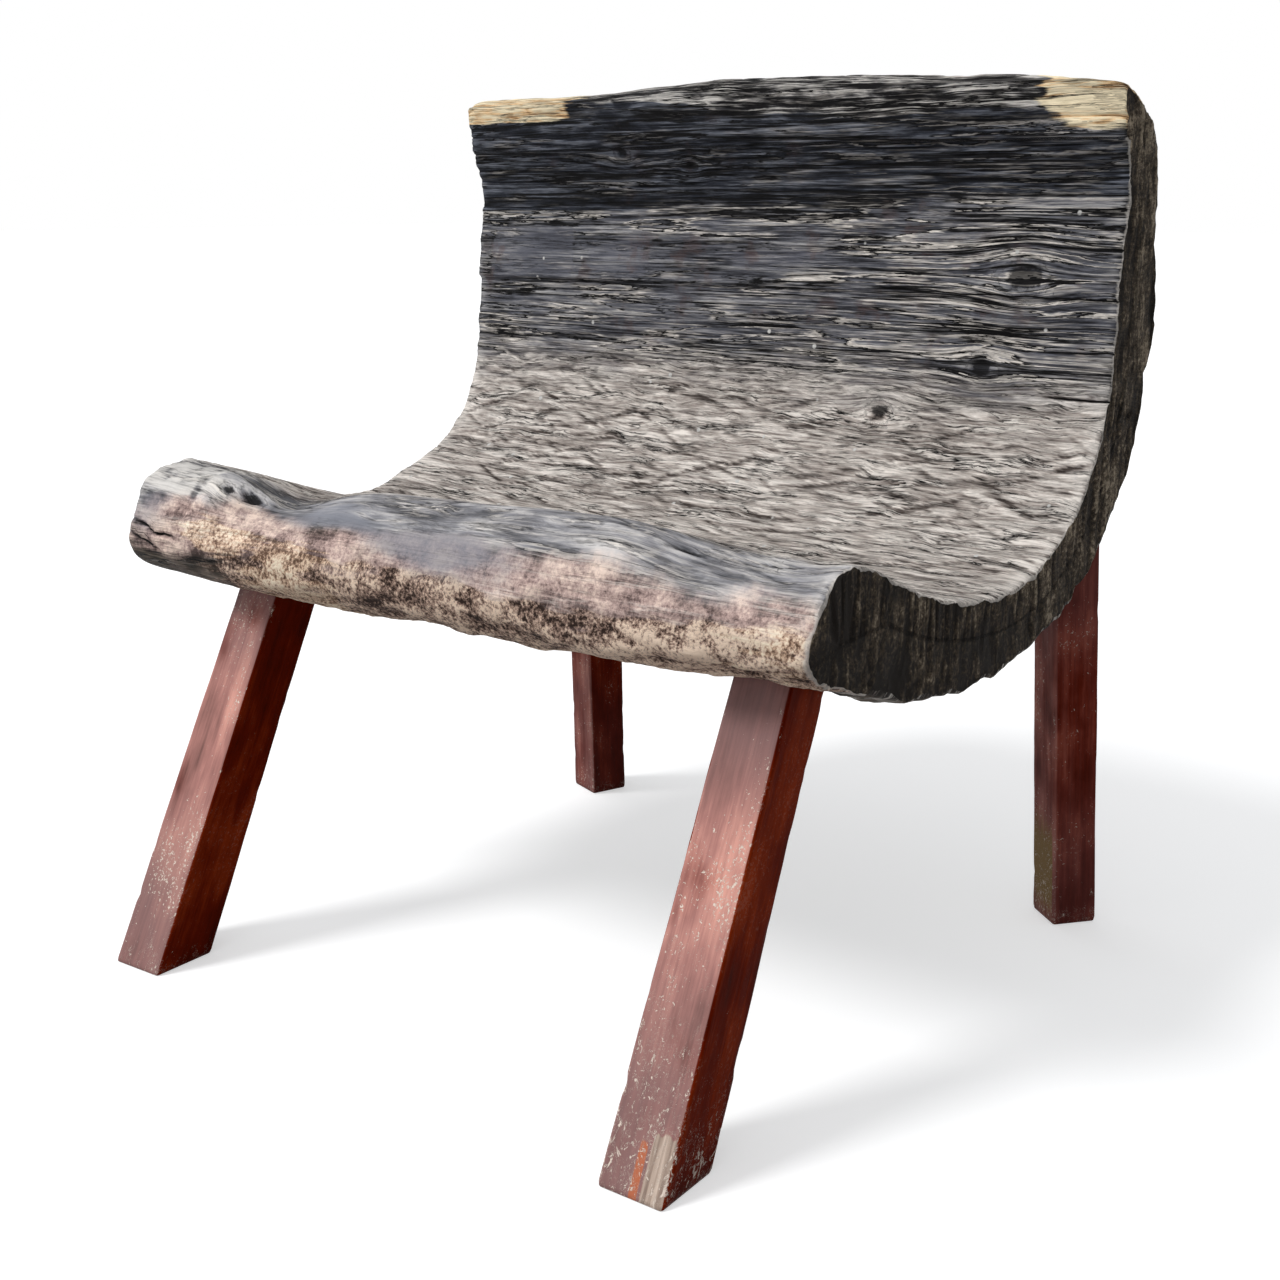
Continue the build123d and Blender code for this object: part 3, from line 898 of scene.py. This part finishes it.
class Skin:
    """The log's surface as a sheet of rows and columns, which gives it its relief and weathering."""

    def __init__(self, plank: HewnLog, start: np.ndarray, way: np.ndarray, side: np.ndarray,
                 columns: np.ndarray, reach: np.ndarray) -> None:
        """Sets the sheet on the solid's surface.

        Args:
            plank: The log.
            start: Where each row's ray starts (y, z).
            way: Each row's direction (y, z).
            side: Each row's side.
            columns: Places along the grain.
            reach: How far each row's ray runs, at each column.
        """
        self.plank = plank
        self.start, self.way, self.columns = start, way, columns
        self.x = np.broadcast_to(columns, reach.shape)
        self.y = start[:, :1] + way[:, :1] * reach
        self.z = start[:, 1:] + way[:, 1:] * reach
        middle = len(columns) // 2
        step = np.hypot(np.diff(self.y[:, middle]), np.diff(self.z[:, middle]))
        self.run = np.concatenate([[0], np.cumsum(step)])
        self.side = side
        self.on = {which: (side == which.value).astype(float)[:, None] for which in Side}
        self.girth = np.broadcast_to(self.run[:, None], reach.shape).copy()

    def _row_of(self, x: float, y: float, z: float, side: Side | None = None) -> int:
        """The row whose surface is nearest to a point, given in millimetres."""
        column = int(np.argmin(np.abs(self.columns - x * MM)))
        gap = np.hypot(self.y[:, column] - y * MM, self.z[:, column] - z * MM)
        if side is not None:
            gap = gap + (self.side != side.value)
        return int(np.argmin(gap))

    def _soften(self, sheet: np.ndarray, rows: int, columns: int) -> np.ndarray:
        """A sheet's running mean over a patch of that many rows and columns on each side."""
        for size, axis in ((rows, 0), (columns, 1)):
            padded = np.pad(np.moveaxis(sheet, axis, 0), ((size, size), (0, 0)), mode="edge")
            total = np.cumsum(np.insert(padded, 0, 0, axis=0), axis=0)
            span = 2 * size + 1
            sheet = np.moveaxis((total[span:] - total[:-span]) / span, 0, axis)
        return sheet

    def _flow_round_knots(self) -> None:
        """Bends the lines of the grain round each knot."""
        for knot in self.plank.knots:
            row = self._row_of(knot.x, knot.y, knot.z)
            along = (self.x - knot.x * MM) / (3.2 * knot.radius * MM)
            across = (self.girth - self.run[row]) / (2.0 * knot.radius * MM)
            self.girth -= (self.girth - self.run[row]) * 0.75 * np.exp(-(along**2) - across**2)

    def _weathering(self) -> dict[str, np.ndarray]:
        """Says where each weathering of the wood lies, and where shade is painted under the lip's left end.

        Returns:
            A sheet of 0 to 1 for each weathering, by name.
        """
        inner, lip, top = self.on[Side.INNER], self.on[Side.LIP], self.on[Side.TOP]
        inside = inner + top * (self.y < 0.222)
        face = inner + lip
        x = self.x
        wander = Noise(31).layers(x / 0.16, self.girth / 0.05, 2)
        z = self.z + wander * 0.010
        level = self.z + wander * 0.008
        cloudy = self.z + 0.020 * Noise(33).layers(x / 0.11, self.girth / 0.06, 3)
        front = face * smooth(self.y, -0.140, -0.185)
        left_end = smooth(-x, 0.30, 0.36)

        def oblong(along: Triple, up: Triple) -> np.ndarray:
            """A soft oblong, each way given by its middle, how far it reaches and how far it is full."""
            return smooth(np.abs(x - along[0]), *along[1:]) * smooth(np.abs(z - up[0]), *up[1:])

        fields = {"back": inside}
        line = 0.660 + 0.010 * x / 0.37
        fields["char"] = inside * smooth(z, line - 0.010, line + 0.006) * smooth(self.z, 0.79, 0.755)
        fields["planed"] = inside * (oblong((-0.288, 0.066, 0.050), (0.612, 0.040, 0.022))
                                     + oblong((-0.170, 0.060, 0.020), (0.606, 0.036, 0.012))
                                     + oblong((0.010, 0.120, 0.020), (0.615, 0.030, 0.005)) * 0.7)
        fields["seat"] = face * smooth(z, 0.560, 0.455) * smooth(self.y + wander * 0.012, -0.215, -0.185)
        fields["band"] = front * smooth(level + 0.014 * smooth(-x, 0.24, 0.34), 0.384, 0.420)
        # Painted shade on the underside of the lip's left end, where mauve and ochre give way to bark; the
        # field adds a darker middle of the lip.
        shade_and_darkening = smooth(-x, 0.17, 0.25) * smooth(level - 0.12 * (x + 0.37), 0.360, 0.342)
        fields["shade_and_darkening"] = np.maximum(0.6 * hump(x, -0.02, 0.12), shade_and_darkening)
        fields["mauve"] = front * smooth(level, 0.424, 0.390) * (1 - 0.72 * shade_and_darkening) * (1 - 0.4 * left_end)
        fields["crust"] = front * smooth(cloudy, 0.400, 0.362) * smooth(x, -0.42, -0.10)
        fields["ochre"] = front * smooth(level, 0.404, 0.384) * (1 - 0.8 * shade_and_darkening) * (
            hump(x, -0.245, 0.045) * 0.75 + hump(x, -0.145, 0.055) * 0.85 + hump(x, 0.33, 0.04) * 0.35)
        fields["smoke"] = front * (hump(x, 0.02, 0.10) * hump(level, 0.398, 0.016)
                                   + hump(x, -0.12, 0.06) * hump(level, 0.413, 0.010)
                                   + 0.55 * smooth(-x, 0.295, 0.345) * hump(level, 0.392, 0.032))
        left = smooth(-x, 0.18, 0.31) * smooth(self.z, 0.737, 0.752)
        right = smooth(x, 0.270, 0.345) * smooth(self.z + 0.012 * wander, 0.715, 0.755)
        fields["bare"] = (inside + top) * (left + right) * smooth(self.y, 0.262, 0.245)
        from_end = self.plank.half - np.abs(x - self.plank.middle)
        fields["splintery"] = (0.30 + 0.8 * hump(self.z, 0.500, 0.040) + 0.6 * smooth(x, -0.05, 0.25)
                               + 0.3 * hump(self.z, 0.650, 0.012) + 0.35 * smooth(z, 0.735, 0.750))
        fields["swirl"] = (1.2 * face * hump(x, -0.325, 0.05) * smooth(self.z, 0.398, 0.412)
                           * smooth(self.y, -0.14, -0.17))
        fields["frayed"] = face * smooth(from_end, 0.007, 0.0) * (x > 0) * 0.8
        brim = 0.756 - 0.018 * smooth(x, -0.10, 0.08)
        fields["rim"] = (top + inner) * smooth(z, brim - 0.006, brim + 0.006) * (1 - fields["bare"]) * 0.9
        return {name: np.clip(sheet, 0, 1) for name, sheet in fields.items()}

    def _tool_marks(self) -> np.ndarray:
        """The short slanting cuts of the adze over the seat and the bend.

        Returns:
            The height of the cuts, in millimetres.
        """
        marks = np.zeros_like(self.x)
        rng = np.random.default_rng(7)
        first = self._row_of(0, 216, 515, Side.INNER)
        last = self._row_of(0, -188, 428, Side.LIP)
        for _ in range(self.plank.adze_cuts):
            run = rng.uniform(self.run[first], self.run[last])
            x = rng.uniform(-0.38, 0.38)
            length, width = rng.uniform(0.015, 0.05), rng.uniform(0.003, 0.009)
            angle = rng.choice((-1, 1)) * rng.uniform(0.08, 0.5)
            depth = rng.uniform(0.5, 1.7)
            rows = np.flatnonzero(np.abs(self.run - run) < length * 0.7 + width)
            cols = np.flatnonzero(np.abs(self.columns - x) < length + width)
            if not len(rows) or not len(cols):
                continue
            patch = np.ix_(rows, cols)
            dx, dv = self.x[patch] - x, self.girth[patch] - run
            along = (dx * math.cos(angle) + dv * math.sin(angle)) / length
            across = (-dx * math.sin(angle) + dv * math.cos(angle)) / width
            cut = np.clip(1 - across, 0, 1) * (across > 0) * np.clip(1 - along**2, 0, 1)
            marks[patch] = np.minimum(marks[patch], -depth * cut)
        return marks

    def _texture(self, fields: dict[str, np.ndarray]) -> np.ndarray:
        """Works out the relief of each weathering: ridges, torn fibre, adze cuts, crust and bark.

        Args:
            fields: Where each weathering lies.

        Returns:
            The relief in millimetres.
        """
        char, seat, band, mauve = (fields[name] for name in ("char", "seat", "band", "mauve"))
        back = fields["back"] * (1 - char) * (1 - seat)
        outer = self.on[Side.OUTER]

        def layers(seed: int, along: float, around: float, count: int) -> np.ndarray:
            """Soft lumps, so many metres long and wide."""
            return Noise(seed).layers(self.x / along, self.girth / around, count)

        def creases(seed: int, along: float, around: float, width: float) -> np.ndarray:
            """Narrow grooves, so many metres long and apart."""
            return Noise(seed).creases(self.x / along, self.girth / around, width)

        def ledges(seed: int, along: float, around: float, slope: float) -> np.ndarray:
            """Flat steps, so many metres long and wide."""
            return Noise(seed).ledges(self.x / along, self.girth / around, 2.0, slope)

        height = 1.2 * layers(1, 0.24, 0.08, 2)
        height += char * (0.9 * Noise(2).at(self.x / 0.30, self.girth / 0.022)
                          - 1.5 * creases(3, 0.24, 0.011, 0.13) - 0.9 * creases(5, 0.11, 0.0065, 0.2))
        height += back * (0.5 * ledges(7, 0.45, 0.045, 0.06) - 1.0 * creases(9, 0.5, 0.022, 0.05)
                          - 0.5 * creases(11, 0.2, 0.010, 0.1))
        height += seat * (0.4 * ledges(13, 0.15, 0.03, 0.10) - 0.5 * creases(15, 0.2, 0.014, 0.08)
                          + self._tool_marks())
        height += (fields["crust"] + mauve * 0.3) * (1.2 * layers(17, 0.018, 0.012, 2)
                                                     + 2.4 * layers(19, 0.08, 0.04, 2))
        height += band * layers(21, 0.07, 0.03, 2)
        height += (band + mauve) * smooth(-self.x, 0.20, 0.28) * 2.0 * layers(67, 0.035, 0.025, 3)
        height += outer * smooth(self.x, 0.26, 0.36) * 4.0 * layers(26, 0.03, 0.035, 2)
        height += outer * (1.8 * layers(23, 0.2, 0.06, 3) + 1.6 * layers(24, 0.04, 0.018, 2)
                           - 1.2 * creases(25, 0.2, 0.02, 0.2))
        height += self.on[Side.TOP] * (1.2 * layers(27, 0.06, 0.015, 3) - 1.2 * creases(29, 0.1, 0.009, 0.2))
        return height

    def _relief(self, fields: dict[str, np.ndarray]) -> tuple[np.ndarray, dict[str, np.ndarray]]:
        """Works out how far the carved surface stands off the smooth one.

        Args:
            fields: Where each weathering lies.

        Returns:
            The relief in metres, and how far each point lies from the cracks, the knots and the arris.
        """
        x, v = self.x, self.girth
        far = 10.0
        height = self._texture(fields)
        for swell in self.plank.swells:
            run = self.run[self._row_of(swell.x, swell.y, swell.z)]
            height += (swell.height * hump(x, swell.x * MM, swell.length * MM)
                       * hump(v, run, swell.girth * MM))
        knots = np.full_like(x, 3.0)
        for knot in self.plank.knots:
            run = self.run[self._row_of(knot.x, knot.y, knot.z)]
            away = np.hypot((x - knot.x * MM) / 1.4, self.run[:, None] - run) / (knot.radius * MM)
            away *= 1 + 0.3 * Noise(53).layers(x / 0.012, v / 0.012, 2)
            height -= knot.depth * (hump(away, 0, 0.7) - 0.08 * hump(away, 1.5, 0.35))
            knots = np.minimum(knots, away)
        gap, near = np.full_like(x, far), np.zeros_like(x)
        for index, crack in enumerate(self.plank.cracks):
            ends = [self.run[self._row_of(*point)] for point in (crack.start, crack.end)]
            first, last = crack.start[0] * MM, crack.end[0] * MM
            share = np.clip((x - first) / (last - first), 0, 1)
            line = ends[0] + (ends[1] - ends[0]) * share
            line = line + 0.0006 * crack.depth * Noise(40 + index).layers(x / 0.035, x * 0, 3)
            across = (self.run[:, None] - line) / (crack.width * MM)
            fade = 0.020 * (last < 0.36)
            inside = smooth(x, first - 0.004, first + 0.020) * smooth(x, last + 0.004, last - fade)
            height -= crack.depth * hump(across, 0, 1.0) * inside
            closer = (np.abs(across) < np.abs(gap)) & (np.abs(across) < far / 2)
            gap = np.where(closer, across, gap)
            near = np.where(closer, inside, near)
        edge = self.plank.half - np.abs(x - self.plank.middle)
        ragged = 1 + 0.8 * Noise(51).layers(v / 0.02, x * 0 + np.sign(x) * 3.3, 3)
        height -= (2.2 + (x > 0)) * ragged * np.exp(-edge / 0.0040)
        # arris: the line along the back's top arris, where the finish paints a pale highlight.
        arris = (self.z - 0.658 - 0.009 * x / 0.37) / MM + 2.5 * Noise(55).layers(x / 0.08, x * 0, 3)
        arris = np.where(self.on[Side.INNER] > 0, arris, 2 * far)
        return height * MM, {"gap": gap, "near": near, "knot": knots, "arris": arris}

    def carve(self, row: np.ndarray, column: np.ndarray, share: np.ndarray) -> tuple[np.ndarray, dict]:
        """Places each vertex of the tube.

        Args:
            row: Each vertex's row.
            column: Each vertex's column.
            share: How far out each vertex lies on its ray: 1 on the surface, less on an end face.

        Returns:
            The vertices, and the attributes that the finish reads.
        """
        self._flow_round_knots()
        fields = self._weathering()
        height, shown = self._relief(fields)
        # The relief against its softened self: the finish paints its ridges light and its hollows dark, as
        # highlight and shade.
        low = height - self._soften(height, 5, 2)
        relief = np.clip(low / self.plank.full_relief, -1, 1)

        reach_y = self.y - self.start[:, :1]
        reach_z = self.z - self.start[:, 1:]
        length = np.hypot(reach_y, reach_z)
        scale = (length + height) / length
        y = self.start[row, 0] + reach_y[row, column] * scale[row, column] * share
        z = self.start[row, 1] + reach_z[row, column] * scale[row, column] * share
        x = self.x[row, column]
        side = np.where(column == 0, -1, np.where(column == len(self.columns) - 1, 1, 0))
        on_end = (share < 0.999) & (side != 0)
        striae = 0.9 * Noise(61).layers(y / 0.006, z / 0.09, 3)
        striae += 1.2 * Noise(63).layers(y / 0.05, z / 0.05, 2)
        striae -= 1.4 * Noise(65).creases(y / 0.02, z / 0.16, 0.15)
        from_rim = np.clip((1 - share) / 0.06, 0, 1)
        x = x - side * (self.plank.end_cut - from_rim * striae * MM * on_end)

        values = {name: sheet[row, column] for name, sheet in fields.items()}
        values["relief"] = np.where(on_end, np.clip(striae / 1.6, -1, 1), relief[row, column])
        values |= {name: sheet[row, column] for name, sheet in shown.items()}
        values["near"] = np.where(on_end, 0, values["near"])
        values["end"] = on_end.astype(float)
        girth = self.girth + 0.0035 * Noise(71).layers(self.x / 0.045, self.girth / 0.022, 2)
        for name, around in (("flow", self.girth), ("torn", girth)):
            values[name] = np.stack([self.x[row, column], around[row, column], np.zeros(len(row))], 1)
        return np.stack([x, y, z], 1), values


@dataclass
class StakedLeg:
    """A tapered square stick that is let into the log. Metres."""

    node: str
    # Its wear and its painted sheen: the sheen painted on the faces that turn to the front, chips and how
    # high up, scrapes, moss, dust all round, a peeled corner.
    front_sheen: float = 1.0
    chipping: float = 1.0
    scuffed: float = 0.10
    scraped: float = 0.0
    mossy: float = 0.0
    film: float = 0.0
    peeled: tuple[float, float] | None = None
    # How it is divided and its edges eased, and how far inside the log it ends.
    cuts: int = 47
    easing: float = 0.0035
    foot_easing: float = 0.0038
    short_of_tip: float = 0.045
    foot_crowding: float = 1.15
    edge_crowding: float = 0.8
    most_out: float = 0.0004

    def _sides(self) -> tuple[np.ndarray, np.ndarray]:
        """Reads the four flat sides of the solid.

        Returns:
            The sides' outward normals and a point of each, in the order right round the leg.
        """
        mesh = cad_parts[self.node].data
        points = np.array([v.co for v in mesh.vertices])
        normals = np.array([p.normal for p in mesh.polygons])
        areas = np.array([p.area for p in mesh.polygons])
        centres = np.array([points[list(p.vertices)].mean(0) for p in mesh.polygons])
        found, places = [], []
        left = areas.copy()
        while len(found) < 4:
            largest = normals[np.argmax(left)]
            group = normals @ largest > 0.9995
            weight = areas[group][:, None]
            if abs(largest[2]) < 0.9:
                found.append((normals[group] * weight).sum(0) / weight.sum())
                places.append((centres[group] * weight).sum(0) / weight.sum())
            left[group] = 0
        around = [0] + sorted((1, 2, 3), key=lambda side: abs(found[side] @ found[0] + 1) < 0.1)
        around[2], around[3] = around[3], around[2]
        return np.array(found)[around], np.array(places)[around]

    def _block(self) -> bpy.types.Object:
        """Models the finely divided block that the leg is shaped from."""
        bpy.ops.object.select_all(action="DESELECT")
        bpy.ops.mesh.primitive_cube_add(size=2)
        piece = bpy.context.object
        piece.name = self.node.replace("_leg", "_stick")
        bpy.ops.object.mode_set(mode="EDIT")
        bpy.ops.mesh.select_all(action="SELECT")
        bpy.ops.mesh.subdivide(number_cuts=self.cuts)
        bpy.ops.object.mode_set(mode="OBJECT")
        return piece

    def build(self, seed: int) -> bpy.types.Object:
        """Models the leg: a finely divided block with eased edges, set between the solid's four sides.

        Args:
            seed: Tells one leg's dents from another's.

        Returns:
            The finished piece.
        """
        normals, places = self._sides()
        across = (normals[0] - normals[2]) / np.linalg.norm(normals[0] - normals[2])
        axis = np.cross(across, normals[1] - normals[3])
        axis *= np.sign(axis[2]) / np.linalg.norm(axis)
        other = np.cross(axis, across)
        if other @ normals[1] < 0:
            normals, places = normals[[0, 3, 2, 1]], places[[0, 3, 2, 1]]
        base = places.mean(0)
        base = base - axis * base[2] / axis[2]
        length = (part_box(self.node)[1].z - self.short_of_tip * axis[2]) / axis[2]

        def gap(along: float) -> np.ndarray:
            """How far each side lies from the leg's base line, at a height along it."""
            return ((places - base - axis * along) * normals).sum(1)

        piece = self._block()
        mesh = piece.data
        cube = read(mesh)
        share = ((cube[:, 2] + 1) / 2) ** self.foot_crowding
        foot, top = gap(0.0), gap(length)
        half = foot + (top - foot) * share[:, None]
        reach_a, reach_b = (half[:, 0] + half[:, 2]) / 2, (half[:, 1] + half[:, 3]) / 2
        middle_a, middle_b = (half[:, 0] - half[:, 2]) / 2, (half[:, 1] - half[:, 3]) / 2
        across_cube = np.sign(cube[:, :2]) * np.abs(cube[:, :2]) ** self.edge_crowding
        square = np.stack([across_cube[:, 0] * reach_a, across_cube[:, 1] * reach_b, -share * length], 1)
        limit = np.stack([reach_a - self.easing, reach_b - self.easing,
                          np.full(len(share), -self.foot_easing)], 1)
        low_limit = np.stack([-limit[:, 0], -limit[:, 1], np.full(len(share), -np.inf)], 1)
        core = np.clip(square, low_limit, limit)
        off = square - core
        size = np.linalg.norm(off, axis=1)
        rounding = np.where(np.abs(off[:, 2]) > 1e-9, self.foot_easing, self.easing)
        square = core + off * (np.minimum(size, rounding) / np.maximum(size, 1e-12))[:, None]
        a, b, t = square[:, 0] + middle_a, square[:, 1] + middle_b, -square[:, 2]
        line = base + a[:, None] * across + b[:, None] * other
        floor = -line[:, 2] / axis[2]
        place = line + ((floor * (1 - share) + t)[:, None]) * axis
        move(mesh, place)

        normal = read(mesh, "normal")
        sole = share < 0.001
        edge = np.hypot(np.maximum(reach_a - np.abs(square[:, 0]), 0),
                        np.maximum(reach_b - np.abs(square[:, 1]), 0))
        edge = np.where(sole, 0.02, edge)
        turn = np.arctan2(square[:, 1], square[:, 0]) / (2 * np.pi)
        dents = 0.45 * Noise(seed).layers(t / 0.14, turn / 0.20, 3)
        dents += 0.10 * Noise(seed + 5).layers(t / 0.03, turn / 0.03, 2)
        knocks = np.clip(Noise(seed + 9).layers(t / 0.022, turn / 0.05, 3) - 0.42, 0, 1)
        knocks *= np.exp(-edge / 0.004) * (1 + 2 * np.exp(-t / 0.045))
        fall = (dents - 3.0 * self.chipping * knocks) * MM
        fall = np.minimum(fall, self.most_out) * ~sole
        place += normal * fall[:, None]
        place[:, 2] = np.maximum(place[:, 2], 0)
        move(mesh, place)

        facing = smooth(-normal[:, 1], 0.62, 0.84)
        scuffs = 0.6 * self.chipping * np.exp(-((t / (self.scuffed * (0.5 + 0.5 * facing))) ** 2))
        one_side = smooth(square[:, 0] * np.sign(across[0]), 0.02, -0.02)
        scuffs += self.scraped * facing * hump(t, 0.335, 0.045) * one_side
        wear = (np.exp(-edge / 0.0016) * (0.5 + 0.7 * Noise(seed + 13).layers(t / 0.05, turn, 3))
                + 2.2 * knocks + scuffs)
        patchy = 0.5 * Noise(seed + 17).layers(t / 0.09, turn / 0.3, 3)
        values = {"stick": np.stack([a + seed, b, t], 1),
                  "wear": np.clip(wear, 0, 1),
                  # A sheen painted on the faces that turn to the front, as much as front_sheen gives, and
                  # the film of dust all round.
                  "sheen_and_dust": np.clip(facing * self.front_sheen * (0.9 + patchy) + self.film, 0, 1),
                  "moss": self.mossy * hump(t, 0.055, 0.05) * smooth(-normal[:, 0], 0.2, 0.5),
                  "peeled": np.zeros_like(t), "split": np.zeros_like(t)}
        if self.peeled:
            wide, tall = self.peeled
            from_edge = (place - base - t[:, None] * axis)[:, 0]
            from_edge = from_edge.max() - from_edge
            values["peeled"] = facing * smooth(t, tall, tall * 0.8) * smooth(from_edge, wide, wide * 0.8)
            strip = smooth(np.abs(from_edge - wide - 0.004), 0.0045, 0.002)
            values["split"] = facing * strip * smooth(t, tall * 0.85, tall * 0.60)
        store(mesh, values)
        bpy.ops.object.shade_smooth()
        log.info("%s: %d faces", self.node, len(mesh.polygons))
        return piece

    def dress(self, piece: bpy.types.Object, finish: bpy.types.Material) -> None:
        """Gives the leg its finish and its place in the model.

        Args:
            piece: The leg that build made.
            finish: The stained wood.
        """
        coat(piece, finish)
        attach(piece, "root")
        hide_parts(self.node)


@dataclass
class FoxWedge:
    """The hidden wedge in a leg's tenon, which keeps the solid's shape."""

    node: str

    def dress(self, finish: bpy.types.Material) -> None:
        """Gives the wedge its finish.

        Args:
            finish: The bare wood.
        """
        coat(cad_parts[self.node], finish)
        log.info("%s: dressed", self.node)


@dataclass
class Studio:
    """The pale floor, the soft lamps and the camera."""

    lens: float = 47.63
    camera_place: Triple = (0.9676, -1.1146, 0.6690)
    camera_turn: Triple = (math.radians(75.305), 0.0, math.radians(39.678))
    floor_size: float = 60.0
    floor_colour: Colour = rgb(215, 215, 215)
    floor_glow: float = 0.50
    dim_colour: Colour = rgb(170, 170, 170)
    white: Colour = (1.0, 1.0, 1.0)
    tint: Colour = (0.95, 0.97, 1.0)
    window_side: Triple = (-0.6, -0.8, 0.6)
    window_edge: float = -0.2
    room_light: float = 0.24
    window_light: float = 1.02

    def floor(self) -> None:
        """Lays the floor: white to the eye, with the chair's shadow on it, and pale grey to the light."""
        bpy.ops.object.select_all(action="DESELECT")
        bpy.ops.mesh.primitive_plane_add(size=self.floor_size)
        ground = bpy.context.object
        ground.name = "studio_floor"
        g = Graph(bpy.data.materials.new("studio_floor"))
        lit = g.node("ShaderNodeBsdfDiffuse", {}, {"Color": self.floor_colour})
        glow = g.node("ShaderNodeEmission", {}, {"Color": self.white, "Strength": self.floor_glow})
        white = g.node("ShaderNodeAddShader", {}, {0: lit, 1: glow})
        dim = g.node("ShaderNodeBsdfDiffuse", {}, {"Color": self.dim_colour})
        g.show(g.choose(g.background_seen(), dim, white))
        ground.data.materials.append(g.owner)

    def world(self) -> None:
        """Fills the room with soft light that is brighter in front, and shows white behind the chair."""
        room = bpy.data.worlds.new("studio_room")
        bpy.context.scene.world = room
        g = Graph(room)
        place = g.node("ShaderNodeTexCoord", {}, {}, "Generated")
        window = tuple(Vector(self.window_side).normalized())
        toward = g.node("ShaderNodeVectorMath", {"operation": "DOT_PRODUCT"}, {0: place, 1: window}, "Value")
        soft, bright = (g.node("ShaderNodeBackground", {}, {"Color": self.tint, "Strength": strength})
                        for strength in (self.room_light, self.window_light))
        shown = g.node("ShaderNodeBackground", {}, {"Color": self.white, "Strength": 1.0})
        light = g.choose(toward.ramp(self.window_edge, 1.0), soft, bright)
        g.show(g.choose(g.background_seen(), light, shown))

    def sun(self, name: str, place: Triple, strength: float, spread: float) -> None:
        """Hangs a distant soft lamp that shines on the chair.

        Args:
            name: The lamp's name.
            place: The side that it shines from.
            strength: Its strength.
            spread: How wide it looks, in degrees.
        """
        data = bpy.data.lights.new(name, "SUN")
        data.energy = strength
        data.angle = math.radians(spread)
        made = bpy.data.objects.new(name, data)
        made.rotation_euler = Vector(place).to_track_quat("Z", "Y").to_euler()
        bpy.context.scene.collection.objects.link(made)

    def camera(self) -> None:
        """Sets up the camera."""
        data = bpy.data.cameras.new("camera")
        data.sensor_width = 36
        data.lens = self.lens
        made = bpy.data.objects.new("camera", data)
        made.location = self.camera_place
        made.rotation_euler = self.camera_turn
        bpy.context.scene.collection.objects.link(made)
        bpy.context.scene.camera = made

    def build(self) -> None:
        """Sets up the whole studio."""
        self.floor()
        self.world()
        self.sun("key", (-0.9, -1.5, 1.9), 1.9, 16)
        self.camera()
        bpy.context.scene.view_settings.view_transform = "Standard"
        log.info("studio: floor, room, lamps and camera")


def main() -> None:
    """Builds the chair piece by piece, then the studio round it."""
    logging.basicConfig(level=logging.INFO, format="%(name)s: %(message)s")
    plank = HewnLog()
    plank.dress(plank.build())
    stained = LegFinish().material()
    split = WedgeFinish().material()
    legs = (
        StakedLeg("front_left_leg", front_sheen=1.0, scuffed=0.04),
        StakedLeg("front_right_leg", front_sheen=1.0, chipping=1.3, scuffed=0.17, scraped=0.6,
                  peeled=(0.022, 0.054)),
        StakedLeg("rear_left_leg", front_sheen=0.25, scuffed=0.03, film=0.2),
        StakedLeg("rear_right_leg", front_sheen=0.15, scuffed=0.05, mossy=1.0, film=0.3),
    )
    for seed, leg in enumerate(legs, start=3):
        leg.dress(leg.build(seed * 20), stained)
        FoxWedge(leg.node.replace("_leg", "_wedge")).dress(split)
    Studio().build()


if __name__ == "__main__":
    main()
